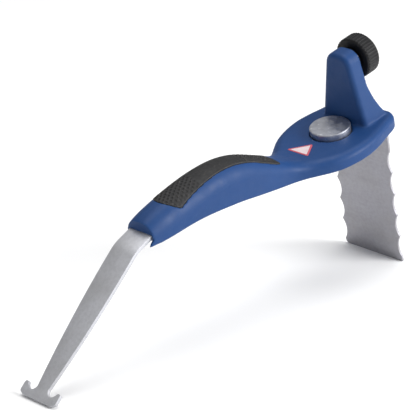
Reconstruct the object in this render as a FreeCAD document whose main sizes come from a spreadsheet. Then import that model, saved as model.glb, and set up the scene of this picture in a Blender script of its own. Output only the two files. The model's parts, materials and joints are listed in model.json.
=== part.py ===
"""Painter's multi tool: a moulded handle with a hook blade at one end and, at the head,
a magnet disc and a tower that clamps a scalloped scraper blade with a knurled knob.

Everything is drawn in the tool's own frame: origin at the centre of the magnet's face, X along
the head plate away from the hook, Z square to the plate. STANDING then tips the whole tool, so
that it stands on the scalloped blade's lower edge and the hook's end edge, with the floor at
Z = 0 and the origin under the middle of the tool.
"""
import FreeCAD, Part
import Sketcher
import math
import os

V = FreeCAD.Vector

# ------------------------------------------------------- driving dimensions, mm and degrees
SIZES = dict(
    pitch=12.5,              # tilt of the head plate when the tool stands
    length_back=143.24,      # from the origin to the middle of the scalloped blade's edge
    wall=2.4,                # moulded wall
    fit_gap=0.2,             # cover to shell
    cover_thick=2.8,
    cavity_front_x=-158.2,
    cavity_rear_x=17.6,
    mouth_half=8.7,          # opening in the handle's front wall
    mouth_top=14.6,
    inlay_depth=1.4,
    inlay_proud=0.25,
    plate_top=-3.8,
    plate_bottom=-13.0,
    tower_front_x=12.9,
    tower_rear_x=23.6,
    tower_foot_x=33.8,
    tower_top=41.4,
    tower_foot_half=17.2,    # half width where the tower meets the plate
    tower_top_half=8.3,      # half width the slanting sides would have at the very top
    tower_round=7.6,         # arch of the tower's top
    tower_edge=3.2,          # soft edge round the tower's front
    flare_top=19.5,          # where the rear starts to flare into two cheeks
    clamp_axis=32.1,         # knob axis over the magnet's face
    stud_dia=6.0,
    stud_end_x=16.4,
    insert_dia=8.4,
    insert_front_x=15.6,
    insert_bore=6.1,
    blade_gap=0.5,           # tower's rear face to blade
    blade_thick=1.5,
    slot_slack=0.3,
    tang_half=6.6,
    tang_top=36.8,
    fork_half=3.3,
    fork_floor=28.4,
    shoulder=-13.25,         # top of the blade's wide part
    blade_half=22.8,
    blade_bottom=-103.8,
    tooth_pitch=15.2,
    tooth_first=3.1,         # lowest tooth over the blade's bottom edge
    scallop_count=5,
    scallop_radius=13.2,
    scallop_depth=2.2,
    blade_corner=3.0,
    washer_dia=15.0,
    washer_thick=1.0,
    washer_gap=0.05,
    knob_dia=26.0,
    knob_face_x=27.2,
    knob_length=10.8,
    knob_edge=1.2,
    knob_dish=0.8,
    stud_seat=7.5,           # how far the stud goes into the knob
    collar_dia=13.0,
    rib_count=40,
    rib_width=0.9,
    rib_depth=0.45,
    disc_dia=25.0,
    disc_recess=3.2,
    disc_slack=0.4,
    disc_edge=0.5,
    disc_thread=4.0,         # depth of the disc's blind hole
    boss_dia=31.0,
    boss_floor=1.6,
    keeper_dia=20.0,
    keeper_thick=1.2,
    keeper_room=1.0,         # cover to keeper
    cover_skin=1.2,          # what is left of the cover under the keeper
    strip_thick=2.2,
    strip_tang_angle=13.0,   # the part of the hook blade that enters the handle
    strip_bend=19.09,        # bend between that part and the rest
    strip_bend_radius=20.0,
    strip_bend_x=-174.0,
    strip_bend_z=10.6,
    strip_length=96.9,       # bend to end edge
    strip_tang_length=36.5,
    strip_half=8.5,
    anchor_neck_half=4.4,
    anchor_half=13.8,
    anchor_flat_half=10.5,
    anchor_depth=8.4,        # end edge to the horns' tips
    anchor_notch=4.7,        # end edge to the floor of the notches
    screw_dia=3.0,
    screw_reach=6.0,         # a strip screw's tip past the middle of the strip
    screw_seat=1.5,          # depth of the recess for a cover screw's head
    screw_clearance=0.4,     # cover screws' holes over their shanks and heads
    screw_head_dia=5.6,
    screw_head_thick=1.6,
    screw_slot=1.6,          # socket in the screw's head, half width
    screw_post_dia=6.4,
    badge_thick=0.6,
    badge_sunk=0.25,         # how far it is let into the plate
    badge_front_x=-29.9,
    badge_rear_x=-17.6,
    badge_left=9.6,
    badge_right=-7.4,
    badge_point=-0.9,
    badge_round=0.8,
)

# Cross-sections of the handle and head, front to rear: x, half width, top, ridge, bottom and
# how far the top edge's rounding reaches in. Ridge is where the side wall ends and the crown
# begins.
SECTIONS = [
    (-161.5, 10.6, 21.2, 11.2, 7.8, 9.0),
    (-150, 11.8, 24.1, 11.8, 7.7, 10.4),
    (-134, 12.5, 25.9, 13.4, 7.2, 11.2),
    (-118, 12.8, 26.6, 15.2, 5.4, 11.4),
    (-104, 12.9, 26.2, 15.0, 2.7, 11.4),
    (-91, 12.7, 24.3, 12.8, -0.3, 11.2),
    (-78, 12.3, 19.8, 8.4, -4.0, 10.9),
    (-66, 12.1, 13.3, 3.0, -7.2, 10.6),
    (-56, 12.2, 7.4, -1.6, -9.6, 10.2),
    (-47, 13.0, 2.0, -5.2, -11.3, 9.6),
    (-38, 16.3, -2.2, -8.2, -12.3, 8.8),
    (-30, 21.0, -3.5, -8.9, -12.8, 7.8),
    (-22, 25.4, -3.8, -8.7, -13.0, 6.6),
    (-12, 28.3, -3.8, -8.1, -13.0, 5.6),
    (0, 29.4, -3.8, -7.5, -13.0, 5.0),
    (12, 27.9, -3.8, -7.2, -13.0, 4.6),
    (23, 25.1, -3.8, -7.0, -13.0, 4.2),
    (30, 23.3, -3.8, -7.0, -13.0, 4.0),
    (34.2, 21.3, -3.8, -7.0, -13.0, 4.0),
    (35.9, 18.4, -3.8, -7.0, -13.0, 4.0),
]
SECTION_COLUMNS = ("x", "half", "top", "ridge", "bottom", "reach")

# Screw posts that hold the underside cover: x, y and the height where the post enters the roof.
COVER_SCREWS = [(-128, 0, 22.0), (-104, 0, 23.6), (-80, 0, 17.6), (-44, 0, -1.4),
                (-17, 19.5, -5.0), (-17, -19.5, -5.0)]
STRIP_SCREWS = (17.5, 29.0)  # along the hook blade's inner end, from its bend


# ------------------------------------------------------------------------ document and sheet
doc = FreeCAD.newDocument("painters_multi_tool")
sheet = doc.addObject("Spreadsheet::Sheet", "Sizes")
for row, (alias, value) in enumerate(SIZES.items(), start=1):
    sheet.set(f"A{row}", alias)
    sheet.set(f"B{row}", str(value))
    sheet.setAlias(f"B{row}", alias)
for number, section in enumerate(SECTIONS, start=1):
    for letter, column, value in zip("DEFGHI", SECTION_COLUMNS, section):
        sheet.set(f"{letter}{number}", str(value))
        sheet.setAlias(f"{letter}{number}", f"section{number}_{column}")
doc.recompute()


class Dim:
    """A sheet cell, or arithmetic on cells, that knows its number and its expression."""

    def __init__(self, number, text):
        self.number = number
        self.text = text

    def join(self, other, sign, number, flip=False):
        text = other.text if isinstance(other, Dim) else str(other)
        pair = (text, self.text) if flip else (self.text, text)
        return Dim(number, f"({pair[0]} {sign} {pair[1]})")

    def __add__(self, other):
        return self.join(other, "+", self.number + plain(other))

    def __sub__(self, other):
        return self.join(other, "-", self.number - plain(other))

    def __rsub__(self, other):
        return self.join(other, "-", plain(other) - self.number, flip=True)

    def __mul__(self, other):
        return self.join(other, "*", self.number * plain(other))

    def __truediv__(self, other):
        return self.join(other, "/", self.number / plain(other))

    def __neg__(self):
        return self * -1

    __radd__ = __add__
    __rmul__ = __mul__


def plain(value):
    return value.number if isinstance(value, Dim) else float(value)


def sine(angle):
    return Dim(math.sin(math.radians(angle.number)), f"sin({angle.text} * 1 deg)")


def cosine(angle):
    return Dim(math.cos(math.radians(angle.number)), f"cos({angle.text} * 1 deg)")


class Cells:
    """Attribute access to the sheet: s.wall is the cell called wall."""

    def __getattr__(self, alias):
        return Dim(float(sheet.get(alias)), f"Sizes.{alias}")


s = Cells()

# The tool stands on two edges: it is tipped about the scalloped blade's lower edge.
TILT = FreeCAD.Rotation(V(0, 1, 0), -plain(s.pitch))
BLADE_FRONT = s.tower_rear_x + s.blade_gap
BLADE_REAR = BLADE_FRONT + s.blade_thick
FOOT = V(plain(BLADE_FRONT), 0, plain(s.blade_bottom))
STANDING = FreeCAD.Placement(V(plain(s.length_back), 0, 0) - TILT.multVec(FOOT), TILT)

# The hook blade is drawn in its own frame: origin at its bend, X into the handle.
STRIP_FRAME = FreeCAD.Placement(V(plain(s.strip_bend_x), 0, plain(s.strip_bend_z)),
                                FreeCAD.Rotation(V(0, 1, 0), -plain(s.strip_tang_angle)))

# Turned parts are drawn along X: the clamp's on the knob's axis, the others turned upright.
AXIS_FRAME = FreeCAD.Placement(V(0, 0, plain(s.clamp_axis)), FreeCAD.Rotation())
UPRIGHT = FreeCAD.Rotation(V(0, 1, 0), -90)
DISC_FLOOR = s.plate_top - s.disc_recess
BOSS_LOW = DISC_FLOOR - s.boss_floor
KNOB_START = BLADE_REAR + s.washer_gap * 2 + s.washer_thick
STUD_SEAT = s.knob_face_x + s.stud_seat


# ----------------------------------------------------------------------------------- helpers
def new_body(label):
    body = doc.addObject("PartDesign::Body", label)
    body.Label = label
    return body


def new_sketch(body, role, lift=None, turn=None):
    """A sketch on one of the body's origin planes, lifted along the plane's normal."""
    sketch = body.newObject("Sketcher::SketchObject", f"{body.Label}_sketch")
    sketch.AttachmentSupport = [(f, "") for f in body.Origin.OriginFeatures if f.Role == role]
    sketch.MapMode = "FlatFace"
    if turn is not None:
        sketch.AttachmentOffset = FreeCAD.Placement(V(), FreeCAD.Rotation(V(0, 1, 0), turn))
    if lift is not None:
        sketch.setExpression(".AttachmentOffset.Base.z", (lift + 0).text)
    return sketch


def fix_point(sketch, geometry, which, x, y):
    """Bind one point of a sketch to sheet expressions."""
    for kind, coordinate in (("DistanceX", x), ("DistanceY", y)):
        arguments = (kind, -1, 1, geometry, which, plain(coordinate))
        index = sketch.addConstraint(Sketcher.Constraint(*arguments))
        if isinstance(coordinate, Dim):
            sketch.setExpression(f"Constraints[{index}]", coordinate.text)


def outline(sketch, points):
    """A closed outline. A point is (x, y), or (x, y, via) where an arc by way of the point
    via leads to the next one."""
    ends = []
    for point, following in zip(points, points[1:] + points[:1]):
        start = V(plain(point[0]), plain(point[1]), 0)
        end = V(plain(following[0]), plain(following[1]), 0)
        if len(point) == 2:
            ends.append((sketch.addGeometry(Part.LineSegment(start, end), False), 1, 2))
            continue
        middle = V(plain(point[2][0]), plain(point[2][1]), 0)
        leftward = (middle - start).cross(end - middle).z > 0
        # A sketch's arcs run anticlockwise, so a clockwise one is entered by its second end.
        arc = Part.ArcOfCircle(start, middle, end) if leftward else Part.ArcOfCircle(end, middle, start)
        index = sketch.addGeometry(arc, False)
        if arc.Radius > (end - start).Length * 0.51:      # a half circle's ends settle its radius
            sketch.addConstraint(Sketcher.Constraint("Radius", index, arc.Radius))
        ends.append((index, 1, 2) if leftward else (index, 2, 1))
    for number, (edge, start, end) in enumerate(ends):
        following, next_start, _ = ends[(number + 1) % len(ends)]
        sketch.addConstraint(Sketcher.Constraint("Coincident", edge, end, following, next_start))
        fix_point(sketch, edge, start, points[number][0], points[number][1])


def circle(sketch, x, y, diameter):
    index = sketch.addGeometry(Part.Circle(V(plain(x), plain(y), 0), V(0, 0, 1),
                                           plain(diameter) / 2), False)
    fix_point(sketch, index, 3, x, y)
    constraint = sketch.addConstraint(Sketcher.Constraint("Diameter", index, plain(diameter)))
    if isinstance(diameter, Dim):
        sketch.setExpression(f"Constraints[{constraint}]", diameter.text)


def box_outline(sketch, x0, x1, y0, y1):
    outline(sketch, [(x0, y0), (x1, y0), (x1, y1), (x0, y1)])


def feature(body, kind, sketch, length=None, both=False, back=False):
    """A Pad or a Pocket of one sketch; length None cuts through everything."""
    made = body.newObject(f"PartDesign::{kind}", f"{body.Label}_{kind.lower()}")
    made.Profile = sketch
    if length is None:
        made.Type = "ThroughAll"
    else:
        made.setExpression("Length", (length + 0).text)
    made.Midplane = both
    made.Reversed = back
    sketch.Visibility = False
    doc.recompute()
    return made


def turned(body, points):
    """Revolve an outline in the XZ plane about the X axis."""
    sketch = new_sketch(body, "XZ_Plane")
    outline(sketch, points)
    made = body.newObject("PartDesign::Revolution", f"{body.Label}_turned")
    made.Profile = sketch
    made.ReferenceAxis = (sketch, ["H_Axis"])
    made.Angle = 360
    doc.recompute()
    return made


def soften(body, radius, chosen, kind="Fillet"):
    """Round, or chamfer, the edges of a body's last feature that chosen picks."""
    base = body.Tip
    names = [f"Edge{n}" for n, e in enumerate(base.Shape.Edges, start=1) if chosen(e)]
    made = body.newObject(f"PartDesign::{kind}", f"{body.Label}_{kind.lower()}")
    made.Base = (base, names)
    made.setExpression("Radius" if kind == "Fillet" else "Size", (radius + 0).text)
    doc.recompute()
    return made


def combine(kind, label, base, tool):
    """A boolean of two objects under its own label."""
    made = doc.addObject(f"Part::{kind}", label)
    made.Label = label
    made.Base = base
    made.Tool = tool
    doc.recompute()
    return made


def shaped(label, shape):
    """An object for a shape that sketches don't suit: the lofts of the moulded body."""
    made = doc.addObject("Part::Feature", label)
    made.Label = label
    made.Shape = shape
    return made


# ------------------------------------------------------------------- lofts of the moulded body
def quarter(start, corner, end):
    """A quarter of an ellipse from start to end, as a curve that bulges towards corner."""
    kappa = 0.5523
    curve = Part.BezierCurve()
    curve.setPoles([start, start + (corner - start) * kappa, end + (corner - end) * kappa, end])
    return curve.toShape()


def section(number, inset, drop, foot=None):
    """One cross-section moved in by inset, its bottom lowered by drop or set at foot over it."""
    cell = {c: plain(getattr(s, f"section{number}_{c}")) for c in SECTION_COLUMNS}
    x = cell["x"]
    half = cell["half"] - inset
    top = max(cell["top"] - inset, cell["ridge"] + 0.3)
    ridge = cell["ridge"]
    reach = max(cell["reach"] - inset, 0.5)
    bottom = cell["bottom"] - drop
    corner = 1.6 if drop == 0 else 0.4
    outer = [V(x, half, bottom + corner), V(x, half, ridge), V(x, half - reach, top)]
    right = [Part.makeLine(outer[0], outer[1]), quarter(outer[1], V(x, half, top), outer[2])]
    low = V(x, half - corner, bottom)
    mirrored = [V(p.x, -p.y, p.z) for p in outer]
    low_left = V(x, -low.y, low.z)
    edges = [quarter(low, V(x, half, bottom), outer[0])] + right
    edges.append(Part.makeLine(outer[2], mirrored[2]))
    edges.append(quarter(mirrored[2], V(x, -half, top), mirrored[1]))
    edges.append(Part.makeLine(mirrored[1], mirrored[0]))
    edges.append(quarter(mirrored[0], V(x, -half, bottom), low_left))
    edges.append(Part.makeLine(low_left, low))
    return Part.Wire(edges)


def body_loft(inset=0.0, drop=0.0, first=1, last=len(SECTIONS)):
    """The outside of the handle and head, or the same form moved in by inset."""
    wires = [section(number, inset, drop) for number in range(first, last + 1)]
    return Part.makeLoft(wires, True, False)


def cover_loft():
    """A strip that follows the handle's underside, between the side walls."""
    wires = []
    inset = plain(s.wall + s.fit_gap)
    for number in range(1, len(SECTIONS) + 1):
        x = plain(getattr(s, f"section{number}_x"))
        half = plain(getattr(s, f"section{number}_half")) - inset
        bottom = plain(getattr(s, f"section{number}_bottom"))
        top = bottom + plain(s.cover_thick)
        corners = [V(x, -half, bottom), V(x, half, bottom), V(x, half, top), V(x, -half, top)]
        wires.append(Part.makePolygon(corners + corners[:1]))
    return Part.makeLoft(wires, True, False)


def slab(x0, x1, half=60.0, low=-60.0, high=60.0):
    return Part.makeBox(x1 - x0, 2 * half, high - low, V(x0, -half, low))


# ------------------------------------------------------------------------ the moulded shell
def make_tower():
    """The clamp tower: slanting sides with an arched top, and a rear that flares into cheeks."""
    body = new_body("tower_form")
    front = new_sketch(body, "YZ_Plane", lift=s.tower_front_x)
    foot = s.plate_bottom + 2
    slope = (s.tower_foot_half - s.tower_top_half) / (s.tower_top - s.plate_top)
    spread = s.tower_foot_half + slope * (s.plate_top - foot)
    outline(front, [(-spread, foot), (spread, foot),
                    (s.tower_top_half, s.tower_top), (-s.tower_top_half, s.tower_top)])
    feature(body, "Pad", front, s.tower_foot_x - s.tower_front_x)
    rear = new_sketch(body, "XZ_Plane")
    high = s.tower_top + 5
    outline(rear, [(s.tower_rear_x, high), (s.tower_rear_x, s.flare_top, (26.4, 9.0)),
                   (31.8, -1.6, (32.7, -3.0)), (s.tower_foot_x, s.plate_top - 0.2),
                   (s.tower_foot_x + 5, s.plate_top - 0.2), (s.tower_foot_x + 5, high)])
    feature(body, "Pocket", rear, both=True)
    top = plain(s.tower_top)
    soften(body, s.tower_round, lambda e: abs(e.BoundBox.ZMin - top) < 0.01
           and e.BoundBox.XLength > 5)
    front_x = plain(s.tower_front_x)
    soften(body, s.tower_edge, lambda e: abs(e.BoundBox.XMax - front_x) < 0.01
           and e.BoundBox.XLength < 0.01 and e.BoundBox.ZMax > 0)
    return body


def post(x, y, low, high, diameter, frame=FreeCAD.Placement()):
    """A round post or hole square to the plate, or square to another frame."""
    shape = Part.makeCylinder(plain(diameter) / 2, high - low, V(x, y, low), V(0, 0, 1))
    shape.Placement = frame.multiply(shape.Placement)
    return shape


def underside(x):
    """Height of the underside at x, taken on the straight between the nearest sections."""
    rows = [(plain(getattr(s, f"section{n}_x")), plain(getattr(s, f"section{n}_bottom")))
            for n in range(1, len(SECTIONS) + 1)]
    for (x0, z0), (x1, z1) in zip(rows, rows[1:]):
        if x0 <= x <= x1:
            return z0 + (z1 - z0) * (x - x0) / (x1 - x0)
    return rows[-1][1]


def make_cavity():
    """The hollow under the shell, less the posts and the magnet's boss that stand in it."""
    hollow = body_loft(plain(s.wall), drop=6)
    hollow = hollow.common(slab(plain(s.cavity_front_x), plain(s.cavity_rear_x)))
    posts = [post(0, 0, plain(BOSS_LOW), plain(s.plate_top), s.boss_dia)]
    for x, y, roof in COVER_SCREWS:
        posts.append(post(x, y, underside(x) + plain(s.cover_thick), roof + 4, s.screw_post_dia))
    for x in STRIP_SCREWS:
        low = plain(s.strip_thick / 2)
        posts.append(post(x, 0, low, low + 12, s.screw_post_dia, STRIP_FRAME))
    return hollow.cut(posts)


def make_shell_openings():
    """Everything cut from the shell after its cavity: mouth, blade slot, bores and recess."""
    slack_half = plain(s.tang_half + s.slot_slack)
    rear_face = plain(s.tower_rear_x)
    slot_rear = plain(BLADE_REAR + s.slot_slack)
    plate_top = plain(s.plate_top)
    mouth = Part.makeBox(12, 2 * plain(s.mouth_half), 30,
                         V(plain(s.cavity_front_x) - 11.5, -plain(s.mouth_half),
                           plain(s.mouth_top) - 30))
    slot = Part.makeBox(slot_rear - rear_face, 2 * slack_half, 60, V(rear_face, -slack_half, -20))
    between_cheeks = Part.makeBox(20, 2 * slack_half, 60, V(rear_face, -slack_half, plate_top))
    recess = post(0, 0, plain(DISC_FLOOR), 5, s.disc_dia + s.disc_slack * 2)
    magnet_hole = post(0, 0, -20, plain(DISC_FLOOR), s.screw_dia)
    bore = Part.makeCylinder(plain(s.insert_dia) / 2, rear_face - plain(s.insert_front_x),
                             V(plain(s.insert_front_x), 0, plain(s.clamp_axis)), V(1, 0, 0))
    openings = [mouth, slot, between_cheeks, recess, magnet_hole, bore]
    for x, y, roof in COVER_SCREWS:
        openings.append(post(x, y, -20, roof, s.screw_dia))
    for x in STRIP_SCREWS:
        openings.append(post(x, 0, 0, plain(s.screw_reach), s.screw_dia, STRIP_FRAME))
    return Part.makeCompound(openings)


def make_inlay_plan():
    """The grip inlay seen from above: a bowed front, a waist and two pointed rear corners."""
    body = new_body("inlay_plan")
    plan = new_sketch(body, "XY_Plane", lift=s.plate_bottom - 10)
    outline(plan, [(-139.2, 9.2, (-144.6, 0)), (-139.2, -9.2, (-138.0, -9.9)),
                   (-135.5, -10.0, (-94.0, -7.4)), (-57.0, -8.7), (-54.0, -8.2, (-56.0, 0)),
                   (-54.0, 8.2), (-57.0, 8.7, (-94.0, 7.4)), (-135.5, 10.0, (-138.0, 9.9))])
    feature(body, "Pad", plan, s.tower_top - s.plate_bottom)
    return body


def make_cover():
    """The plate that closes the underside, with holes and recesses for its screws."""
    cover = cover_loft().common(slab(plain(s.cavity_front_x + s.fit_gap),
                                     plain(s.cavity_rear_x - s.fit_gap)))
    for x, y, _ in COVER_SCREWS:
        low = underside(x)
        seat = low + plain(s.screw_seat)
        cover = cover.cut(post(x, y, low - 6, seat, s.screw_head_dia + s.screw_clearance))
        cover = cover.cut(post(x, y, low - 6, low + 12, s.screw_dia + s.screw_clearance))
    low = plain(s.plate_bottom + s.cover_skin)
    relief = post(0, 0, low, 0, s.keeper_dia + s.keeper_room * 2)
    return cover.cut(relief)


def strip_room():
    """The space that the hook blade's inner end needs, up to the posts that it is screwed to."""
    half = plain(s.strip_thick / 2)
    across = plain(s.strip_half + s.fit_gap)
    room = Part.makeBox(plain(s.strip_tang_length + s.fit_gap), 2 * across, 2 * half + 1,
                        V(0, -across, -half - 1))
    room.Placement = STRIP_FRAME
    return room


def make_moulded_body(badge_seat):
    """The blue shell, its underside cover and the soft inlay in the top of the grip."""
    outer = shaped("outer_form", body_loft())
    tower = make_tower()
    whole = combine("Fuse", "shell_solid", outer, tower)
    cavity = shaped("cavity_form", make_cavity())
    hollow = combine("Cut", "shell_hollow", whole, cavity)
    openings = shaped("shell_openings", make_shell_openings())
    opened = combine("Cut", "shell_opened", hollow, openings)
    cover = shaped("underside_cover", make_cover())
    seated = opened
    for label, room in (("cover", cover.Shape), ("strip", strip_room()), ("badge", badge_seat)):
        seated = combine("Cut", f"shell_with_{label}_seat", seated, shaped(f"{label}_seat", room))

    plan = make_inlay_plan()
    bed = shaped("inlay_bed", body_loft(plain(s.inlay_depth), drop=40))
    pocket = combine("Cut", "inlay_pocket", plan, bed)
    shell = combine("Cut", "body_shell", seated, pocket)

    skin = shaped("inlay_skin", body_loft(-plain(s.inlay_proud)))
    inlay = combine("Common", "grip_inlay", pocket, skin)

    for part in (shell, inlay, cover):
        part.Placement = STANDING
    return [shell, cover, inlay]


# --------------------------------------------------------------------------- the hook blade
def make_hook_blade():
    """A bent steel strip: an inner end screwed into the grip, a taper and an anchor-shaped end."""
    half = s.strip_thick / 2
    run = s.strip_bend_radius * sine(s.strip_bend / 2) / cosine(s.strip_bend / 2)
    along = (-cosine(s.strip_bend), -sine(s.strip_bend))
    upward = (-sine(s.strip_bend), cosine(s.strip_bend))
    middle = (-sine(s.strip_bend / 2), cosine(s.strip_bend / 2))

    def side(offset):
        """Three points of the strip's face: start and middle of the bend, end of the bend."""
        radius = s.strip_bend_radius + offset
        return [(run, offset),
                (run + middle[0] * radius, middle[1] * radius - s.strip_bend_radius),
                (run + upward[0] * radius, upward[1] * radius - s.strip_bend_radius)]

    def far_end(offset):
        reach = s.strip_length + 2
        return (along[0] * reach + upward[0] * offset, along[1] * reach + upward[1] * offset)

    top, below = side(half), side(-half)
    band = new_body("strip_band")
    profile = new_sketch(band, "XZ_Plane")
    outline(profile, [(s.strip_tang_length, half), (top[0][0], top[0][1], top[1]), top[2],
                      far_end(half), far_end(-half), (below[2][0], below[2][1], below[1]),
                      below[0], (s.strip_tang_length, -half)])
    feature(band, "Pad", profile, s.anchor_half * 4, both=True)
    holes = new_sketch(band, "XY_Plane")
    for x in STRIP_SCREWS:
        circle(holes, x, 0, s.screw_dia)
    feature(band, "Pocket", holes, both=True)

    plan = new_body("strip_plan")
    flat = new_sketch(plan, "XY_Plane", turn=-plain(s.strip_bend))
    end = -s.strip_length
    neck = end + s.anchor_notch + 4.6
    notch = end + s.anchor_notch
    tip = end + s.anchor_depth
    inner = s.strip_tang_length + 4
    right = [(end, s.anchor_flat_half),
             (end + 1.2, s.anchor_half - 0.9, (end + 1.9, s.anchor_half - 0.2)),
             (end + 2.8, s.anchor_half),
             (tip - 1.6, s.anchor_half, (tip - 0.3, s.anchor_half - 0.9)),
             (tip - 0.5, s.anchor_half - 2.4, (notch + 0.6, s.anchor_half - 4.4)),
             (notch, s.anchor_half - 7.0, (notch + 1.4, s.anchor_neck_half + 0.5)),
             (neck, s.anchor_neck_half, (end / 2, s.strip_half - 0.9)),
             (-2.0, s.strip_half), (inner, s.strip_half)]
    left = []
    for number in range(len(right) - 1, -1, -1):
        x, y = right[number][:2]
        arc = right[number - 1] if number else ()
        if len(arc) == 3:
            left.append((x, -y, (arc[2][0], -arc[2][1])))
        else:
            left.append((x, -y))
    outline(flat, right + left)
    feature(plan, "Pad", flat, s.anchor_half * 6, both=True)
    blade = combine("Common", "hook_blade", band, plan)
    blade.Placement = STANDING.multiply(STRIP_FRAME)
    return [blade]


# --------------------------------------------------------------------- scalloped blade and clamp
def make_scalloped_blade():
    """A wide scraper blade with scalloped side edges and a forked tang that straddles the stud."""
    body = new_body("scalloped_blade")
    body.Placement = STANDING
    face = new_sketch(body, "YZ_Plane", lift=BLADE_FRONT)
    notch = s.fork_floor + s.fork_half
    outline(face, [(-s.tang_half, s.tang_top), (-s.tang_half, s.shoulder),
                   (-s.blade_half, s.shoulder), (-s.blade_half, s.blade_bottom),
                   (s.blade_half, s.blade_bottom), (s.blade_half, s.shoulder),
                   (s.tang_half, s.shoulder), (s.tang_half, s.tang_top),
                   (s.fork_half, s.tang_top), (s.fork_half, notch, (0, s.fork_floor)),
                   (-s.fork_half, notch), (-s.fork_half, s.tang_top)])
    feature(body, "Pad", face, s.blade_thick)
    bottom = plain(s.blade_bottom)
    soften(body, s.blade_corner, lambda e: abs(e.BoundBox.ZMax - bottom) < 0.1
           and e.BoundBox.YMin > 10 and e.BoundBox.XLength > 1)
    bites = new_sketch(body, "YZ_Plane", lift=BLADE_FRONT)
    reach = s.blade_half + s.scallop_radius - s.scallop_depth
    height = s.blade_bottom + s.tooth_first + s.tooth_pitch / 2
    for across in (reach, -reach):
        circle(bites, across, height, s.scallop_radius * 2)
    bite = feature(body, "Pocket", bites, both=True)
    row = body.newObject("PartDesign::LinearPattern", "scallops")
    row.Originals = [bite]
    row.Direction = (bites, ["V_Axis"])
    row.setExpression("Length", (s.tooth_pitch * (s.scallop_count - 1)).text)
    row.setExpression("Occurrences", s.scallop_count.text)
    body.Tip = row
    doc.recompute()
    return [body]


def make_knob():
    """The knurled knob: a collar, a ribbed grip and a dished outer face, bored for its stud."""
    body = new_body("clamp_knob")
    body.Placement = STANDING.multiply(AXIS_FRAME)
    radius = s.knob_dia / 2
    rear = s.knob_face_x + s.knob_length
    edge = s.knob_edge
    turned(body, [(KNOB_START, s.stud_dia / 2), (KNOB_START, s.collar_dia / 2),
                  (s.knob_face_x, s.collar_dia / 2), (s.knob_face_x, radius - edge),
                  (s.knob_face_x + edge, radius), (rear - edge, radius), (rear, radius - edge),
                  (rear, radius * 0.7), (rear - s.knob_dish, radius * 0.6), (rear - s.knob_dish, 0),
                  (STUD_SEAT, 0), (STUD_SEAT, s.stud_dia / 2)])
    groove = new_sketch(body, "YZ_Plane", lift=s.knob_face_x)
    box_outline(groove, radius - s.rib_depth, radius + 1, s.rib_width / -2, s.rib_width / 2)
    cut = feature(body, "Pocket", groove, s.knob_length, back=True)
    ring = body.newObject("PartDesign::PolarPattern", "ribs")
    ring.Originals = [cut]
    ring.Axis = (groove, ["N_Axis"])
    ring.Angle = 360
    ring.setExpression("Occurrences", s.rib_count.text)
    body.Tip = ring
    doc.recompute()
    return [body]


def make_clamp():
    """The stud, the washer under the knob and the threaded insert in the tower."""
    stud = new_body("clamp_stud")
    turned(stud, [(s.stud_end_x, 0), (s.stud_end_x, s.stud_dia / 2 - 0.6),
                  (s.stud_end_x + 0.6, s.stud_dia / 2), (STUD_SEAT, s.stud_dia / 2),
                  (STUD_SEAT, 0)])
    washer = new_body("clamp_washer")
    front = BLADE_REAR + s.washer_gap
    bore = s.stud_dia / 2 + 0.2
    radius = s.washer_dia / 2
    turned(washer, [(front, bore), (front, radius), (front + s.washer_thick - 0.3, radius),
                    (front + s.washer_thick, radius - 0.3), (front + s.washer_thick, bore)])
    insert = new_body("thread_insert")
    bore = s.insert_bore / 2
    radius = s.insert_dia / 2
    third = (s.tower_rear_x - s.insert_front_x) / 3
    turned(insert, [(s.insert_front_x, bore), (s.insert_front_x, radius),
                    (s.insert_front_x + third, radius), (s.insert_front_x + third, radius - 0.5),
                    (s.tower_rear_x - third, radius - 0.5), (s.tower_rear_x - third, radius),
                    (s.tower_rear_x, radius), (s.tower_rear_x, bore)])
    for body in (stud, washer, insert):
        body.Placement = STANDING.multiply(AXIS_FRAME)
    return [stud, washer, insert]


# ------------------------------------------------------------------------- magnet and fasteners
def make_magnet():
    """The magnet disc in its recess and the washer behind it."""
    disc = new_body("magnet_disc")
    radius = s.disc_dia / 2
    hole = s.screw_dia / 2
    turned(disc, [(DISC_FLOOR, hole), (DISC_FLOOR, radius), (-s.disc_edge, radius),
                  (0, radius - s.disc_edge), (0, 0), (DISC_FLOOR + s.disc_thread, 0),
                  (DISC_FLOOR + s.disc_thread, hole)])
    washer = new_body("magnet_washer")
    low = BOSS_LOW - s.keeper_thick
    rim = s.keeper_dia / 2
    turned(washer, [(low, hole), (low, rim), (BOSS_LOW, rim), (BOSS_LOW, hole)])
    for body in (disc, washer):
        body.Placement = STANDING.multiply(FreeCAD.Placement(V(), UPRIGHT))
    return [disc, washer]


def make_screw(label, seat, length, frame=FreeCAD.Placement()):
    """A cross-head screw that points up from its seat, the underside of its head at seat."""
    body = new_body(label)
    head = s.screw_head_dia / 2
    shank = s.screw_dia / 2
    low = -s.screw_head_thick
    turned(body, [(low, 0), (low, head - 0.4), (low + 0.4, head), (0, head), (0, shank),
                  (length - 0.8, shank), (length, shank - 0.7), (length, 0)])
    cross = new_sketch(body, "YZ_Plane", lift=low)
    arm = s.screw_slot
    blade = 0.35
    outline(cross, [(arm, -blade), (arm, blade), (blade, blade), (blade, arm), (-blade, arm),
                    (-blade, blade), (-arm, blade), (-arm, -blade), (-blade, -blade),
                    (-blade, -arm), (blade, -arm), (blade, -blade)])
    feature(body, "Pocket", cross, s.screw_head_thick * 0.6, back=True)
    body.Placement = STANDING.multiply(frame).multiply(FreeCAD.Placement(seat, UPRIGHT))
    return body


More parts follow.
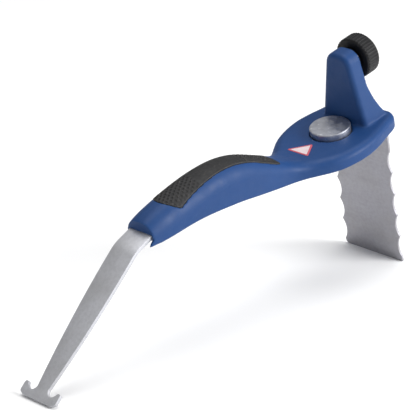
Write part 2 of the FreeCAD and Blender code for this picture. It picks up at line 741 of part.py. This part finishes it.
def make_screws():
    """Six screws for the cover, two for the hook blade and one for the magnet."""
    screws = []
    for number, (x, y, roof) in enumerate(COVER_SCREWS, start=1):
        seat = underside(x) + plain(s.screw_seat)
        screws.append(make_screw(f"cover_screw_{number}", V(x, y, seat), roof - seat))
    for number, x in enumerate(STRIP_SCREWS, start=1):
        seat = -plain(s.strip_thick / 2)
        length = plain(s.screw_reach) - seat
        screws.append(make_screw(f"hook_screw_{number}", V(x, 0, seat), length, STRIP_FRAME))
    seat = plain(BOSS_LOW - s.keeper_thick)
    length = plain(DISC_FLOOR + s.disc_thread) - seat
    screws.append(make_screw("magnet_screw", V(0, 0, seat), length))
    return screws


def make_badge():
    """A small three-cornered label with rounded corners, let into the plate."""
    body = new_body("badge")
    body.Placement = STANDING
    face = new_sketch(body, "XY_Plane", lift=s.plate_top - s.badge_sunk)
    outline(face, [(s.badge_rear_x, s.badge_point), (s.badge_front_x, s.badge_left),
                   (s.badge_front_x, s.badge_right)])
    feature(body, "Pad", face, s.badge_thick)
    soften(body, s.badge_round, lambda e: e.BoundBox.ZLength > 0.1)
    return body


# ------------------------------------------------------------------------------ build and write
def main():
    badge = make_badge()
    in_tool_frame = badge.Shape.copy()
    in_tool_frame.Placement = STANDING.inverse().multiply(in_tool_frame.Placement)
    parts = make_moulded_body(in_tool_frame) + make_hook_blade() + make_scalloped_blade()
    parts += make_knob() + make_clamp() + make_magnet() + make_screws() + [badge]
    doc.recompute()
    for item in doc.Objects:
        if {"Invalid", "Error"} & set(item.State):
            raise RuntimeError(f"{item.Label} failed: {item.State}")
    os.makedirs("parts", exist_ok=True)
    for part in parts:
        shape = part.Shape
        if shape.isNull() or not shape.isValid():
            raise RuntimeError(f"{part.Label} has no valid shape")
        box = shape.BoundBox
        print(f"{part.Label:18s} {shape.Volume:9.1f} mm3, {len(shape.Solids)} solid, "
              f"x {box.XMin:.1f} to {box.XMax:.1f}, z {box.ZMin:.1f} to {box.ZMax:.1f}")
        shape.exportStep(f"parts/{part.Label}.step")


main()
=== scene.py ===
"""Painter's multi tool: materials, detailed pieces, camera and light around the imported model."""
import json
import math

import bmesh
import bpy
import numpy as np
from mathutils import Matrix, Vector


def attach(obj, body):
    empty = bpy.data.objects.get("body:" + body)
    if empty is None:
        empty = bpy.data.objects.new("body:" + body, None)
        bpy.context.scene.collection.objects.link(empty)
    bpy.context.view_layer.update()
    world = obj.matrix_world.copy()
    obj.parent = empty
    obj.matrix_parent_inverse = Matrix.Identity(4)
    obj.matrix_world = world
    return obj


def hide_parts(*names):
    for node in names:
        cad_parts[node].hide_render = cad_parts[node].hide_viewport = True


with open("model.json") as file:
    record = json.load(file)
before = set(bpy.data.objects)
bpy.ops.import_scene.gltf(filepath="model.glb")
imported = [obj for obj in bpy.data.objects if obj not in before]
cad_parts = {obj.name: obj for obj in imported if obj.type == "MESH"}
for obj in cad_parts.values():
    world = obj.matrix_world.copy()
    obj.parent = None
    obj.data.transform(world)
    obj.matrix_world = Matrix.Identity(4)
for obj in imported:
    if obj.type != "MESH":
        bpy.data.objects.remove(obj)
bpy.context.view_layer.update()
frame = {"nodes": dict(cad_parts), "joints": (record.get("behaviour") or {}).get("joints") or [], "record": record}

MM = 0.001
NODES = frame["nodes"]
JOINTS = {joint["name"]: joint for joint in frame["joints"]}
MOUNTS = {mount["name"]: mount for mount in frame["record"]["mounts"]}

# The tool's own frame: origin at the middle of the magnet's face, X along the head plate away
# from the hook, Z square to the plate.
TOOL_X = Vector(JOINTS["knob_turn"]["axis"])
TOOL_Z = -Vector(JOINTS["blade_slide"]["axis"])
TOOL_Y = TOOL_Z.cross(TOOL_X)
TOOL = Matrix((TOOL_X, TOOL_Y, TOOL_Z)).transposed().to_4x4()
TOOL.translation = Vector(MOUNTS["magnet_face"]["pos_m"])
TO_TOOL = TOOL.inverted()

# Sizes and places of the pieces are in millimetres in the tool's frame.

# The edge length of the small faces that a moulded piece is rebuilt in.
SHELL_VOXEL = 0.46
GRIP_VOXEL = 0.24
BADGE_VOXEL = 0.12
KNOB_VOXEL = 0.2
SMOOTH_FACTOR = 0.5
WELD_DISTANCE = 0.001

# Parts of the shell that are smoothed more, and how their edges fade.
TOWER_FOOT_X = (4.0, 23.0)
TOWER_FOOT_Z = (-7.0, 1.5)
TOWER_FOOT_ROUNDS = 45
ZONE_FADE_X = 3.0
ZONE_FADE_Z = 2.0
LEAST_WEIGHT = 0.02

# The lip: below LIP_TOP and in front of LIP_START the shell reaches forward and up.
LIP_TOP = 12.6
LIP_RISE = 4.0
LIP_START = -156.0
LIP_RUN = 5.5
LIP_REACH = 3.4
LIP_LIFT = 1.0
LIP_X = (-170.0, LIP_START)
LIP_Z = (0.0, LIP_TOP)
LIP_ROUNDS = 26

# The grip's texture along the handle: dimples, then plain, then pads with grooves between them.
DIMPLES_X = (-145.0, -118.0)
DIMPLE_PITCH = 2.7
DIMPLE_ROW = DIMPLE_PITCH * 0.866
DIMPLE_RADIUS = DIMPLE_PITCH * 0.42
DIMPLE_DEPTH = 0.5
DIMPLE_FADE = 1.5
PADS_X = (-80.6, -57.3)
PADS_Y = (-6.6, 6.6)
PAD_PITCH = 3.1
PAD_FADE_X = 1.0
PAD_FADE_Y = 0.6
GROOVE_DEPTH = 0.7
GROOVE_POWER = 3

# Texture is pressed in only where the surface faces up: this cosine and more, over this blend.
TOP_COSINE = 0.55
TOP_BLEND = 0.3

# The label's outline, anticlockwise, and the width of its red border.
BADGE_CORNERS = ((-17.6, -0.9), (-29.9, 9.6), (-29.9, -7.4))
BADGE_BORDER = 1.1

# The stud's thread. The flank is how steeply its ridge falls away, per pitch.
THREAD_PITCH = 1.0
THREAD_DEPTH = 0.45
THREAD_FLANK = 2.4
THREAD_RUNOUT = 0.1
STEPS_PER_PITCH = 10
STEPS_ROUND = 48
STUD_CHAMFER = 0.5

# The camera, the floor and the lights are in metres and degrees in the row frame.
CAMERA_TARGET = Vector((-0.00736, 0.0, 0.07220))
CAMERA_AZIMUTH = -46.70
CAMERA_ELEVATION = 21.88
CAMERA_DISTANCE = 1.24663
CAMERA_LENS_MM = 187.22
CAMERA_SENSOR_MM = 36.0
FLOOR_HALF = 6.0
WALL_DISTANCE = 5.0
WALL_HEIGHT = 5.0
SWEEP_RADIUS = 2.0
SWEEP_STEPS = 24
WHITE = (1, 1, 1, 1)
WORLD_STRENGTH = 0.38


# ---------------------------------------------------------------------------- mesh helpers
def link(mesh, name):
    obj = bpy.data.objects.new(name, mesh)
    bpy.context.scene.collection.objects.link(obj)
    return obj


def points_of(mesh):
    flat = np.empty(len(mesh.vertices) * 3)
    mesh.vertices.foreach_get("co", flat)
    return flat.reshape(-1, 3)


def set_points(mesh, points):
    mesh.vertices.foreach_set("co", points.reshape(-1))
    mesh.update()


def to_tool(points):
    """Row-frame metres to tool-frame millimetres."""
    turn = np.array(TO_TOOL.to_3x3())
    return (points @ turn.T + np.array(TO_TOOL.translation)) / MM


def to_row(points):
    """Tool-frame millimetres to row-frame metres."""
    turn = np.array(TOOL.to_3x3())
    return (points * MM) @ turn.T + np.array(TOOL.translation)


def tool_box(node):
    """The low and high corner of a CAD node in the tool's frame, to a tenth of a millimetre."""
    points = to_tool(points_of(NODES[node].data))
    return np.round(points.min(axis=0), 1), np.round(points.max(axis=0), 1)


def fade(value, low, high, over):
    """0 outside low..high, rising to 1 over a short way inside."""
    return np.clip((value - low) / over, 0, 1) * np.clip((high - value) / over, 0, 1)


def apply_modifiers(obj):
    bpy.context.view_layer.update()
    evaluated = obj.evaluated_get(bpy.context.evaluated_depsgraph_get())
    mesh = bpy.data.meshes.new_from_object(evaluated)
    obj.modifiers.clear()
    old = obj.data
    obj.data = mesh
    bpy.data.meshes.remove(old)


def smooth_shade(obj, angle=None):
    """Shade smooth, but keep edges sharper than angle, in degrees, sharp."""
    obj.data.polygons.foreach_set("use_smooth", [True] * len(obj.data.polygons))
    if angle is not None:
        obj.data.set_sharp_from_angle(angle=math.radians(angle))
    obj.data.update()


def copy_of(node, name):
    """A copy of a CAD node's mesh, without its materials."""
    obj = link(NODES[node].data.copy(), name)
    obj.data.materials.clear()
    return obj


def remeshed(name, node, voxel, rounds):
    """A copy of a CAD node rebuilt in small even faces, with its sharp edges eased."""
    obj = copy_of(node, name)
    remesh = obj.modifiers.new("remesh", "REMESH")
    remesh.mode = "VOXEL"
    remesh.voxel_size = voxel * MM
    ease = obj.modifiers.new("ease", "SMOOTH")
    ease.factor = SMOOTH_FACTOR
    ease.iterations = rounds
    apply_modifiers(obj)
    smooth_shade(obj)
    return obj


def bevelled(name, node, width, segments, limit=32):
    """A copy of a CAD node, welded into one mesh, with its sharp edges broken."""
    obj = copy_of(node, name)
    weld = obj.modifiers.new("weld", "WELD")
    weld.merge_threshold = WELD_DISTANCE * MM
    edge = obj.modifiers.new("edge", "BEVEL")
    edge.width = width * MM
    edge.segments = segments
    edge.limit_method = "ANGLE"
    edge.angle_limit = math.radians(limit)
    edge.use_clamp_overlap = True
    apply_modifiers(obj)
    smooth_shade(obj, limit)
    return obj


def soften_zone(obj, name, x_range, z_range, rounds):
    """Smooth a mesh only inside a zone of the tool's frame."""
    points = to_tool(points_of(obj.data))
    weights = fade(points[:, 0], *x_range, ZONE_FADE_X) * fade(points[:, 2], *z_range, ZONE_FADE_Z)
    group = obj.vertex_groups.new(name=name)
    for index in np.flatnonzero(weights > LEAST_WEIGHT):
        group.add([int(index)], float(weights[index]), "REPLACE")
    ease = obj.modifiers.new(name, "SMOOTH")
    ease.vertex_group = group.name
    ease.factor = SMOOTH_FACTOR
    ease.iterations = rounds
    apply_modifiers(obj)
    obj.vertex_groups.clear()


def lathe(name, profile, steps, centre, ripple):
    """A body turned about the tool's X axis through centre. profile is a list of (x, radius)
    from one end of the axis to the other; ripple(angle, x, radius) adds to the radius."""
    bm = bmesh.new()
    rings = []
    for x, radius in profile:
        if radius == 0:
            rings.append([bm.verts.new(centre + Vector((x, 0, 0)))])
            continue
        ring = []
        for step in range(steps):
            angle = 2 * math.pi * step / steps
            r = radius + ripple(angle, x, radius)
            ring.append(bm.verts.new(centre + Vector((x, r * math.cos(angle), r * math.sin(angle)))))
        rings.append(ring)
    for low, high in zip(rings, rings[1:]):
        for step in range(steps):
            after = (step + 1) % steps
            if len(low) == 1:
                bm.faces.new((low[0], high[step], high[after]))
            elif len(high) == 1:
                bm.faces.new((low[step], high[0], low[after]))
            else:
                bm.faces.new((low[step], high[step], high[after], low[after]))
    bmesh.ops.recalc_face_normals(bm, faces=bm.faces)
    mesh = bpy.data.meshes.new(name)
    bm.to_mesh(mesh)
    bm.free()
    mesh.transform(TOOL @ Matrix.Scale(MM, 4))
    mesh.update()
    return link(mesh, name)


# ---------------------------------------------------------------------------- materials
def srgb(red, green, blue):
    """An sRGB colour in 0..255 as the linear RGBA that shaders take."""
    def linear(value):
        value /= 255
        return value / 12.92 if value <= 0.04045 else ((value + 0.055) / 1.055) ** 2.4
    return (linear(red), linear(green), linear(blue), 1.0)


def darker(colour, share):
    """A linear colour with this share of its brightness."""
    return tuple(part * share for part in colour[:3]) + (1,)


class Look:
    """A node-built material: one Principled shader and the textures that vary it."""

    # A Mix node's colour sockets, which share their names with its other sockets.
    MIX_FACTOR = 0
    MIX_FROM = 6
    MIX_TO = 7
    MIX_RESULT = 2

    # Most of a noise texture's values lie in this range.
    NOISE_RANGE = (0.3, 0.7)

    def __init__(self, name, colour, rough, metal=0.0, **sockets):
        self.material = bpy.data.materials.new(name)
        self.material.use_nodes = True
        self.nodes = self.material.node_tree.nodes
        self.wire = self.material.node_tree.links.new
        self.shader = next(node for node in self.nodes if node.type == "BSDF_PRINCIPLED")
        self.shader.inputs["Base Color"].default_value = colour
        self.shader.inputs["Roughness"].default_value = rough
        self.shader.inputs["Metallic"].default_value = metal
        for socket, value in sockets.items():
            self.shader.inputs[socket.replace("_", " ")].default_value = value
        self.base = colour
        self.colour = None
        self.bumps = None

    def add(self, kind, **values):
        """A new node, with values for its settings and its sockets."""
        node = self.nodes.new(kind)
        for key, value in values.items():
            if hasattr(node, key):
                setattr(node, key, value)
            else:
                node.inputs[key.replace("_", " ")].default_value = value
        return node

    def place(self, stretch):
        """Coordinates along the tool's own axes, scaled by stretch."""
        coords = self.add("ShaderNodeTexCoord")
        turned = self.add("ShaderNodeMapping", vector_type="POINT")
        turned.inputs["Rotation"].default_value = TO_TOOL.to_euler()
        self.wire(coords.outputs["Object"], turned.inputs["Vector"])
        scaled = self.add("ShaderNodeVectorMath", operation="MULTIPLY")
        scaled.inputs[1].default_value = stretch
        self.wire(turned.outputs["Vector"], scaled.inputs[0])
        return scaled.outputs["Vector"]

    def noise(self, scale, detail=4.0, rough=0.55, stretch=(1, 1, 1)):
        """Noise with so many cells a metre, drawn out along an axis whose stretch is low."""
        node = self.add("ShaderNodeTexNoise", Scale=scale, Detail=detail, Roughness=rough)
        self.wire(self.place(stretch), node.inputs["Vector"])
        return node.outputs["Fac"]

    def ramp(self, value, low, high, to_low=0.0, to_high=1.0):
        """Map low..high to to_low..to_high, and hold it there outside."""
        node = self.add("ShaderNodeMapRange", From_Min=low, From_Max=high, To_Min=to_low,
                        To_Max=to_high)
        self.wire(value, node.inputs["Value"])
        return node.outputs["Result"]

    def tint(self, factor, colour):
        """Blend the colour so far towards another one where factor is high."""
        mix = self.add("ShaderNodeMix", data_type="RGBA")
        if self.colour is None:
            mix.inputs[self.MIX_FROM].default_value = self.base
        else:
            self.wire(self.colour, mix.inputs[self.MIX_FROM])
        mix.inputs[self.MIX_TO].default_value = colour
        self.wire(factor, mix.inputs[self.MIX_FACTOR])
        self.colour = mix.outputs[self.MIX_RESULT]
        self.wire(self.colour, self.shader.inputs["Base Color"])

    def mottle(self, pattern, low, high, most, colour):
        """Another colour, at most so strong, coming in as the pattern goes from low to high."""
        self.tint(self.ramp(pattern, low, high, 0, most), colour)

    def roughen(self, pattern, low, high):
        """Let the roughness follow a noise pattern between low and high."""
        self.wire(self.ramp(pattern, *self.NOISE_RANGE, low, high), self.shader.inputs["Roughness"])

    def bump(self, pattern, depth_mm, strength):
        node = self.add("ShaderNodeBump", Strength=strength, Distance=depth_mm * MM)
        self.wire(pattern, node.inputs["Height"])
        if self.bumps is not None:
            self.wire(self.bumps, node.inputs["Normal"])
        self.bumps = node.outputs["Normal"]
        self.wire(self.bumps, self.shader.inputs["Normal"])

    def edge_highlight_and_wear(self, low, high, colour, patches=90):
        """Lighter colour where pointiness goes from low to high, broken up into patches: painted highlight on
        edges and raised tops, with some edge wear.
        """
        geometry = self.add("ShaderNodeNewGeometry")
        edge = self.ramp(geometry.outputs["Pointiness"], low, high)
        patch = self.ramp(self.noise(patches, 5), 0.42, 0.62)
        both = self.add("ShaderNodeMath", operation="MULTIPLY")
        self.wire(edge, both.inputs[0])
        self.wire(patch, both.inputs[1])
        self.tint(both.outputs[0], colour)


def moulded_blue():
    look = Look("shell_blue", srgb(26, 63, 115), rough=0.5, Specular_IOR_Level=0.24)
    look.mottle(look.noise(28, 5), low=0.35, high=0.75, most=0.4, colour=srgb(20, 52, 97))
    look.mottle(look.noise(420, 3), low=0.60, high=0.75, most=0.22, colour=srgb(46, 80, 128))
    # Lighter blue along the rims and ridges: painted highlight, with some edge wear.
    look.edge_highlight_and_wear(low=0.515, high=0.56, colour=srgb(52, 88, 138))
    look.roughen(look.noise(160, 4), low=0.42, high=0.58)
    look.bump(look.noise(1900, 3), depth_mm=0.02, strength=0.55)
    look.bump(look.noise(90, 2), depth_mm=0.05, strength=0.25)
    return look.material


def soft_grip():
    look = Look("grip_rubber", srgb(26, 26, 28), rough=0.6, Specular_IOR_Level=0.4)
    look.mottle(look.noise(60, 5), low=0.4, high=0.7, most=0.5, colour=srgb(22, 22, 23))
    look.mottle(look.noise(700, 3), low=0.58, high=0.72, most=0.4, colour=srgb(74, 70, 68))
    # Lighter grey on the raised tops of the dimples and pads: painted highlight.
    look.edge_highlight_and_wear(low=0.51, high=0.56, colour=srgb(98, 94, 92), patches=300)
    look.roughen(look.noise(300, 3), low=0.5, high=0.72)
    look.bump(look.noise(2600, 3), depth_mm=0.03, strength=0.6)
    return look.material


def brushed_steel(name, base, along, rough):
    """Ground sheet steel: fine lines along one of the tool's axes, scratches and soft stains."""
    look = Look(name, base, rough=0.45, metal=0.8)
    stretch = tuple(0.03 if axis == along else 1.0 for axis in "XYZ")
    lines = look.noise(2600, 3, rough=0.6, stretch=stretch)
    look.mottle(lines, low=0.35, high=0.7, most=0.35, colour=darker(base, 0.78))
    look.mottle(look.noise(45, 5), low=0.45, high=0.75, most=0.35, colour=srgb(158, 156, 154))
    look.mottle(look.noise(520, 4), low=0.42, high=0.66, most=0.32, colour=darker(base, 0.7))
    look.roughen(look.noise(240, 4, rough=0.6, stretch=stretch), *rough)
    look.bump(lines, depth_mm=0.012, strength=0.5)
    look.bump(look.noise(130, 2), depth_mm=0.05, strength=0.12)
    return look.material


def magnet_plate():
    look = Look("magnet_steel", srgb(182, 184, 192), rough=0.25, metal=1.0)
    look.mottle(look.noise(70, 6), low=0.45, high=0.72, most=0.45, colour=srgb(136, 138, 148))
    scratches = look.noise(1100, 3, rough=0.6, stretch=(1.0, 0.08, 1.0))
    look.mottle(scratches, low=0.55, high=0.70, most=0.35, colour=srgb(220, 221, 226))
    scuffs = look.noise(330, 6, rough=0.7)
    look.mottle(scuffs, low=0.56, high=0.66, most=0.6, colour=srgb(246, 247, 250))
    look.roughen(look.noise(300, 4), low=0.32, high=0.48)
    look.bump(scratches, depth_mm=0.008, strength=0.5)
    look.bump(scuffs, depth_mm=0.02, strength=0.45)
    return look.material


def knob_plastic():
    look = Look("knob_black", srgb(17, 17, 19), rough=0.5, Specular_IOR_Level=0.22)
    look.mottle(look.noise(140, 5), low=0.4, high=0.7, most=0.5, colour=srgb(13, 14, 17))
    # Lighter grey on the knob's edges and ridges: painted highlight.
    look.edge_highlight_and_wear(low=0.51, high=0.56, colour=srgb(62, 62, 65))
    look.roughen(look.noise(300, 4), low=0.36, high=0.56)
    look.bump(look.noise(2200, 3), depth_mm=0.02, strength=0.5)
    return look.material


def plated(name, colour, rough=(0.22, 0.4)):
    look = Look(name, colour, rough=0.3, metal=1.0)
    look.mottle(look.noise(400, 5), low=0.45, high=0.7, most=0.5, colour=darker(colour, 0.62))
    look.roughen(look.noise(700, 4), *rough)
    look.bump(look.noise(1500, 3), depth_mm=0.01, strength=0.4)
    return look.material


def label(name, colour, dusty):
    look = Look(name, colour, rough=0.38, Coat_Weight=0.25, Coat_Roughness=0.2)
    look.mottle(look.noise(500, 5), low=0.42, high=0.72, most=0.35, colour=dusty)
    look.roughen(look.noise(700, 3), low=0.32, high=0.48)
    look.bump(look.noise(900, 3), depth_mm=0.01, strength=0.4)
    return look.material


BLUE = moulded_blue()
GRIP = soft_grip()
HOOK_STEEL = brushed_steel("hook_steel", srgb(204, 205, 210), along="X", rough=(0.50, 0.62))
BLADE_STEEL = brushed_steel("blade_steel", srgb(172, 171, 177), along="Y", rough=(0.52, 0.64))
DISC = magnet_plate()
BLACK = knob_plastic()
SCREW_STEEL = plated("fastener_steel", srgb(150, 150, 154))
BLACK_OXIDE = plated("washer_black", srgb(44, 45, 50), rough=(0.35, 0.5))
BRASS = plated("insert_brass", srgb(178, 142, 78))
BADGE_RED = label("badge_red", srgb(188, 76, 92), dusty=srgb(176, 104, 116))
BADGE_PALE = label("badge_pale", srgb(222, 205, 208), dusty=srgb(190, 172, 178))


# ---------------------------------------------------------------------------- pieces
def finish_piece(obj, body, slot, nodes, *materials):
    """Give a piece its materials and body, and let it stand in for its CAD nodes. slot is not used."""
    for material in materials:
        obj.data.materials.append(material)
    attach(obj, body)
    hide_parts(*nodes)


def make_shell():
    """The moulded shell. The front corners of its side walls reach forward in a small lip."""
    shell = remeshed("shell", "body_shell", SHELL_VOXEL, rounds=8)
    soften_zone(shell, "tower_foot", TOWER_FOOT_X, TOWER_FOOT_Z, TOWER_FOOT_ROUNDS)
    points = to_tool(points_of(shell.data))
    low = np.clip((LIP_TOP - points[:, 2]) / LIP_RISE, 0, 1)
    front = np.clip((LIP_START - points[:, 0]) / LIP_RUN, 0, 1)
    points[:, 0] -= LIP_REACH * low * low * (3 - 2 * low) * front
    points[:, 2] += LIP_LIFT * low * front
    set_points(shell.data, to_row(points))
    soften_zone(shell, "lip", LIP_X, LIP_Z, LIP_ROUNDS)
    finish_piece(shell, "handle", "shell_blue", ["body_shell"], BLUE)


def dimples(x, y):
    """How deep the dimples are at each point. They are round and stand in staggered rows."""
    row = np.round(x / DIMPLE_ROW)
    shift = np.where(row % 2 == 0, 0.0, 0.5) * DIMPLE_PITCH
    column = np.round((y - shift) / DIMPLE_PITCH)
    from_row = x - row * DIMPLE_ROW
    from_column = y - shift - column * DIMPLE_PITCH
    pit = np.clip(1 - (from_row ** 2 + from_column ** 2) / DIMPLE_RADIUS ** 2, 0, 1)
    return DIMPLE_DEPTH * pit * fade(x, *DIMPLES_X, DIMPLE_FADE)


def grooves(x, y):
    """How deep the grooves between the pads are at each point."""
    lengthways = (0.5 + 0.5 * np.cos(2 * np.pi * y / PAD_PITCH)) ** GROOVE_POWER
    crossways = (0.5 - 0.5 * np.cos(2 * np.pi * x / PAD_PITCH)) ** GROOVE_POWER
    pads = fade(x, *PADS_X, PAD_FADE_X) * fade(y, *PADS_Y, PAD_FADE_Y)
    return GROOVE_DEPTH * np.maximum(lengthways, crossways) * pads


def make_grip():
    """The soft inlay, with its texture pressed into the upper side."""
    grip = remeshed("grip", "grip_inlay", GRIP_VOXEL, rounds=5)
    points = to_tool(points_of(grip.data))
    normals = np.empty(len(points) * 3)
    grip.data.vertex_normals.foreach_get("vector", normals)
    up = normals.reshape(-1, 3) @ np.array(TOOL_Z)
    top = np.clip((up - TOP_COSINE) / TOP_BLEND, 0, 1)
    x = points[:, 0]
    y = points[:, 1]
    points[:, 2] -= top * (dimples(x, y) + grooves(x, y))
    set_points(grip.data, to_row(points))
    finish_piece(grip, "handle", "grip_rubber", ["grip_inlay"], GRIP)


def depth_inside(point, corners):
    """How far a point lies inside an outline whose corners run anticlockwise."""
    sides = zip(corners, corners[1:] + corners[:1])
    return min((after - corner).normalized().cross(point - corner) for corner, after in sides)


def make_badge():
    """The label: a red border round a pale field."""
    badge = remeshed("badge_plate", "badge", BADGE_VOXEL, rounds=4)
    finish_piece(badge, "handle", "badge_label", ["badge"], BADGE_RED, BADGE_PALE)
    corners = [Vector(corner) for corner in BADGE_CORNERS]
    pale = []
    for face in badge.data.polygons:
        centre = (TO_TOOL @ face.center) / MM
        pale.append(int(depth_inside(centre.xy, corners) > BADGE_BORDER))
    badge.data.polygons.foreach_set("material_index", pale)


def make_stud():
    """The clamp's threaded rod, with a real helix, in the place of its CAD node."""
    low, high = tool_box("clamp_stud")
    start = low[0]
    end = high[0]
    radius = (high[1] - low[1]) / 2
    centre = Vector((0, 0, (low[2] + high[2]) / 2))
    root = radius - THREAD_DEPTH
    run = end - start - 2 * THREAD_RUNOUT
    steps = round((end - start) / THREAD_PITCH * STEPS_PER_PITCH)
    profile = [(start, 0), (start, radius - STUD_CHAMFER)]
    profile += [(start + THREAD_RUNOUT + run * i / steps, root) for i in range(steps + 1)]
    profile += [(end, radius - STUD_CHAMFER), (end, 0)]

    def ridge(angle, x, at):
        if at != root:
            return 0
        turn = (x / THREAD_PITCH - angle / (2 * math.pi)) % 1
        return THREAD_DEPTH * max(0.0, 1 - abs(turn - 0.5) * THREAD_FLANK)

    stud = lathe("threaded_stud", profile, STEPS_ROUND, centre, ridge)
    smooth_shade(stud, 50)
    finish_piece(stud, "knob", "fastener_steel", ["clamp_stud"], SCREW_STEEL)


make_shell()
make_grip()
make_badge()

cover = remeshed("cover", "underside_cover", SHELL_VOXEL, rounds=4)
finish_piece(cover, "handle", "shell_blue", ["underside_cover"], BLUE)
hook = bevelled("hook_strip", "hook_blade", width=0.22, segments=3)
finish_piece(hook, "handle", "blade_steel", ["hook_blade"], HOOK_STEEL)
blade = bevelled("blade_plate", "scalloped_blade", width=0.16, segments=2)
finish_piece(blade, "blade", "blade_steel", ["scalloped_blade"], BLADE_STEEL)
knob = remeshed("knob_grip", "clamp_knob", KNOB_VOXEL, rounds=8)
finish_piece(knob, "knob", "knob_black", ["clamp_knob"], BLACK)
disc = bevelled("magnet_face_plate", "magnet_disc", width=0.45, segments=4)
finish_piece(disc, "handle", "magnet_steel", ["magnet_disc"], DISC)
make_stud()

# Small pieces, by CAD node: body, slot and material. The numbered screws are all alike.
SMALL = {
    "clamp_washer": ("washer", "fastener_steel", BLACK_OXIDE),
    "thread_insert": ("handle", "insert_brass", BRASS),
    "magnet_washer": ("handle", "fastener_steel", SCREW_STEEL),
    "magnet_screw": ("handle", "fastener_steel", SCREW_STEEL),
}
for node in NODES:
    if "_screw_" in node:
        SMALL[node] = ("handle", "fastener_steel", SCREW_STEEL)
for node, (body, slot, material) in SMALL.items():
    piece = bevelled(node + "_detail", node, width=0.12, segments=2)
    finish_piece(piece, body, slot, [node], material)


# ---------------------------------------------------------------------------- floor, light, camera
def make_floor():
    """A studio sweep: a flat sheet of paper that curves up into a wall far behind the tool."""
    bend = WALL_DISTANCE - SWEEP_RADIUS
    line = [(-FLOOR_HALF, 0.0), (bend, 0.0)]
    for step in range(1, SWEEP_STEPS + 1):
        angle = math.pi / 2 * step / SWEEP_STEPS
        line.append((bend + SWEEP_RADIUS * math.sin(angle), SWEEP_RADIUS * (1 - math.cos(angle))))
    line.append((WALL_DISTANCE, WALL_HEIGHT))
    turn = Matrix.Rotation(math.radians(90 + CAMERA_AZIMUTH), 4, "Z")
    bm = bmesh.new()
    rows = [[bm.verts.new(turn @ Vector((side, run, up))) for run, up in line]
            for side in (-FLOOR_HALF, FLOOR_HALF)]
    for i in range(len(line) - 1):
        bm.faces.new((rows[0][i], rows[1][i], rows[1][i + 1], rows[0][i + 1]))
    mesh = bpy.data.meshes.new("floor")
    bm.to_mesh(mesh)
    bm.free()
    floor = link(mesh, "floor")
    smooth_shade(floor)
    paper = Look("paper", srgb(250, 250, 250), rough=0.95)
    paper.mottle(paper.noise(3, 3), low=0.4, high=0.6, most=0.3, colour=srgb(247, 247, 248))
    floor.data.materials.append(paper.material)


def aim(name, data, away, distance):
    """A camera or light at a distance from the camera's target, looking back at it."""
    obj = bpy.data.objects.new(name, data)
    bpy.context.scene.collection.objects.link(obj)
    obj.location = CAMERA_TARGET + away * distance
    obj.rotation_euler = away.to_track_quat("Z", "Y").to_euler()
    return obj


def soft_box(name, direction, distance, size, watts):
    data = bpy.data.lights.new(name, "AREA")
    data.shape = "RECTANGLE"
    data.size, data.size_y = size
    data.energy = watts
    aim(name, data, Vector(direction).normalized(), distance)


def make_camera():
    azimuth = math.radians(CAMERA_AZIMUTH)
    elevation = math.radians(CAMERA_ELEVATION)
    level = math.cos(elevation)
    away = Vector((math.sin(azimuth) * level, -math.cos(azimuth) * level, math.sin(elevation)))
    data = bpy.data.cameras.new("camera")
    data.lens = CAMERA_LENS_MM
    data.sensor_width = CAMERA_SENSOR_MM
    bpy.context.scene.camera = aim("camera", data, away, CAMERA_DISTANCE)


make_camera()
make_floor()
soft_box("key", direction=(0.55, -1.0, 0.50), distance=1.6, size=(1.1, 0.9), watts=29)
soft_box("top", direction=(0.1, 0.1, 1.0), distance=1.8, size=(1.4, 1.4), watts=20)

world = bpy.data.worlds.new("studio")
world.use_nodes = True
world.node_tree.nodes["Background"].inputs["Color"].default_value = WHITE
world.node_tree.nodes["Background"].inputs["Strength"].default_value = WORLD_STRENGTH
bpy.context.scene.world = world
bpy.context.scene.view_settings.view_transform = "Standard"
